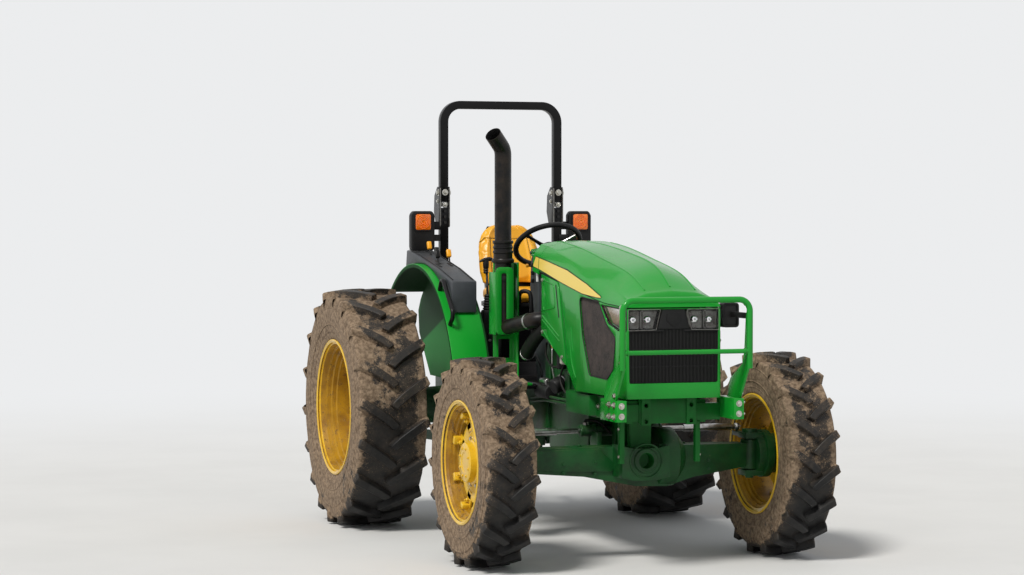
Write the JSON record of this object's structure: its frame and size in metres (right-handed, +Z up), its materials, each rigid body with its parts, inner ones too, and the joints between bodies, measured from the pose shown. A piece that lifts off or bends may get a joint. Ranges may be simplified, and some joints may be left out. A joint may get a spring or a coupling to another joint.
{
  "type": "utility farm tractor with a folding roll bar",
  "caption": "Four-wheel-drive farm tractor with an open station: hinged hood, brush guard, folding roll bar, steered front axle, rear linkage and tall side exhaust.",
  "frame": {"origin": "on the ground in the centre plane, halfway between the two axles", "axes": "+X is the tractor's left, -Y is forwards, +Z is up"},
  "size_m": [2.3, 3.6399, 2.5626],
  "materials": {
    "green_paint": "glossy green paint",
    "casting_green": "dark green painted castings",
    "yellow_paint": "yellow rim paint with dried mud",
    "black_paint": "satin black paint",
    "tyre_rubber": "muddy tyre rubber",
    "black_plastic": "textured black plastic",
    "charcoal_plastic": "charcoal moulded plastic",
    "mesh_grey": "fine dark mesh, dusty",
    "lamp_glass": "clear lamp lens",
    "amber_glass": "amber and red lamp lenses",
    "seat_vinyl": "yellow vinyl",
    "steel": "bare steel"
  },
  "bodies": {
    "chassis": {"engine_block": "casting_green", "radiator": "black_paint", "transmission": "casting_green", "rear_axle_housing": "casting_green", "front_driveshaft": "casting_green", "front_support": "green_paint", "brush_guard": "green_paint", "side_panels": "green_paint", "platform": "black_paint", "dash": "charcoal_plastic", "seat_base": "black_paint", "seat_cushion": "seat_vinyl", "seat_back": "seat_vinyl", "fender_left": "green_paint", "fender_right": "green_paint", "consoles": "charcoal_plastic", "grab_handles": "black_paint", "gear_lever": "black_plastic", "rops_posts": "black_paint", "lamp_pods": "black_plastic", "lamp_lenses": "amber_glass", "exhaust": "black_paint", "exhaust_bracket": "green_paint", "drawbar": "casting_green", "link_brackets": "casting_green", "hitch_bracket": "casting_green"},
    "hood": {"hood_shell": "green_paint", "rear_cowl": "green_paint", "grille_screens": "mesh_grey", "headlamps": "lamp_glass"},
    "roll_hoop": {"rops_hoop": "black_paint"},
    "front_axle": {"axle_beam": "casting_green"},
    "steering_rod": {"tie_rods": "steel"},
    "knuckle_l": {"knuckle_left": "casting_green"},
    "knuckle_r": {"knuckle_right": "casting_green"},
    "front_wheel_l": {"rim_front_left": "yellow_paint", "tyre_front_left": "tyre_rubber"},
    "front_wheel_r": {"rim_front_right": "yellow_paint", "tyre_front_right": "tyre_rubber"},
    "rear_wheel_l": {"rim_rear_left": "yellow_paint", "tyre_rear_left": "tyre_rubber"},
    "rear_wheel_r": {"rim_rear_right": "yellow_paint", "tyre_rear_right": "tyre_rubber"},
    "hand_wheel": {"steering_wheel": "black_plastic"},
    "link_pair": {"lower_links": "casting_green"},
    "lift_arm_pair": {"lift_arms": "casting_green"},
    "lift_rod_pair": {"lift_rods": "casting_green"},
    "pto": {"pto_shaft": "steel"}
  },
  "joints": [
    {"name": "axle_rock", "type": "hinge", "parent": "chassis", "child": "front_axle", "pos_m": [0, -1.025, 0.557], "axis": [0, 1, 0], "range_deg": [-8, 8]},
    {"name": "steer_left", "type": "hinge", "parent": "front_axle", "child": "knuckle_l", "pos_m": [0.69, -1.025, 0.557], "axis": [0, 0, 1], "range_deg": [-45, 45]},
    {"name": "steer_right", "type": "hinge", "parent": "front_axle", "child": "knuckle_r", "pos_m": [-0.69, -1.025, 0.557], "axis": [0, 0, 1], "range_deg": [-45, 45]},
    {"name": "rod_slide", "type": "slide", "parent": "front_axle", "child": "steering_rod", "axis": [1, 0, 0], "range_m": [-0.125, 0.125]},
    {"name": "spin_front_left", "type": "hinge", "parent": "knuckle_l", "child": "front_wheel_l", "pos_m": [0.843, -1.025, 0.557], "axis": [1, 0, 0], "continuous": true},
    {"name": "spin_front_right", "type": "hinge", "parent": "knuckle_r", "child": "front_wheel_r", "pos_m": [-0.843, -1.025, 0.557], "axis": [1, 0, 0], "continuous": true},
    {"name": "spin_rear_left", "type": "hinge", "parent": "chassis", "child": "rear_wheel_l", "pos_m": [0.935, 1.025, 0.71], "axis": [1, 0, 0], "continuous": true},
    {"name": "spin_rear_right", "type": "hinge", "parent": "chassis", "child": "rear_wheel_r", "pos_m": [-0.935, 1.025, 0.71], "axis": [1, 0, 0], "continuous": true},
    {"name": "steering_turn", "type": "hinge", "parent": "chassis", "child": "hand_wheel", "pos_m": [0, 0.354, 1.687], "axis": [0, 0.6157, 0.788], "range_deg": [-540, 540]},
    {"name": "hood_tilt", "type": "hinge", "parent": "chassis", "child": "hood", "pos_m": [0, 0.08, 1.645], "axis": [-1, 0, 0], "range_deg": [0, 50]},
    {"name": "hoop_fold", "type": "hinge", "parent": "chassis", "child": "roll_hoop", "pos_m": [0, 1.246, 2], "axis": [-1, 0, 0], "range_deg": [0, 100]},
    {"name": "link_lift", "type": "hinge", "parent": "chassis", "child": "link_pair", "pos_m": [0, 1.08, 0.48], "axis": [1, 0, 0], "range_deg": [-18, 30]},
    {"name": "arm_lift", "type": "hinge", "parent": "chassis", "child": "lift_arm_pair", "pos_m": [0, 1.155, 0.965], "axis": [1, 0, 0], "range_deg": [-18, 30]},
    {"name": "rod_hang", "type": "hinge", "parent": "lift_arm_pair", "child": "lift_rod_pair", "pos_m": [0, 1.475, 0.965], "axis": [1, 0, 0], "range_deg": [-30, 18]},
    {"name": "pto_spin", "type": "hinge", "parent": "chassis", "child": "pto", "pos_m": [0, 1.23, 0.64], "axis": [0, 1, 0], "continuous": true}
  ],
  "couplings": [
    {"joint": "steer_right", "follows": "steer_left", "ratio": 1},
    {"joint": "rod_slide", "follows": "steer_left", "m_per_rad": -0.15756},
    {"joint": "steering_turn", "follows": "steer_left", "ratio": 12},
    {"joint": "arm_lift", "follows": "link_lift", "ratio": 1},
    {"joint": "rod_hang", "follows": "link_lift", "ratio": -1}
  ]
}
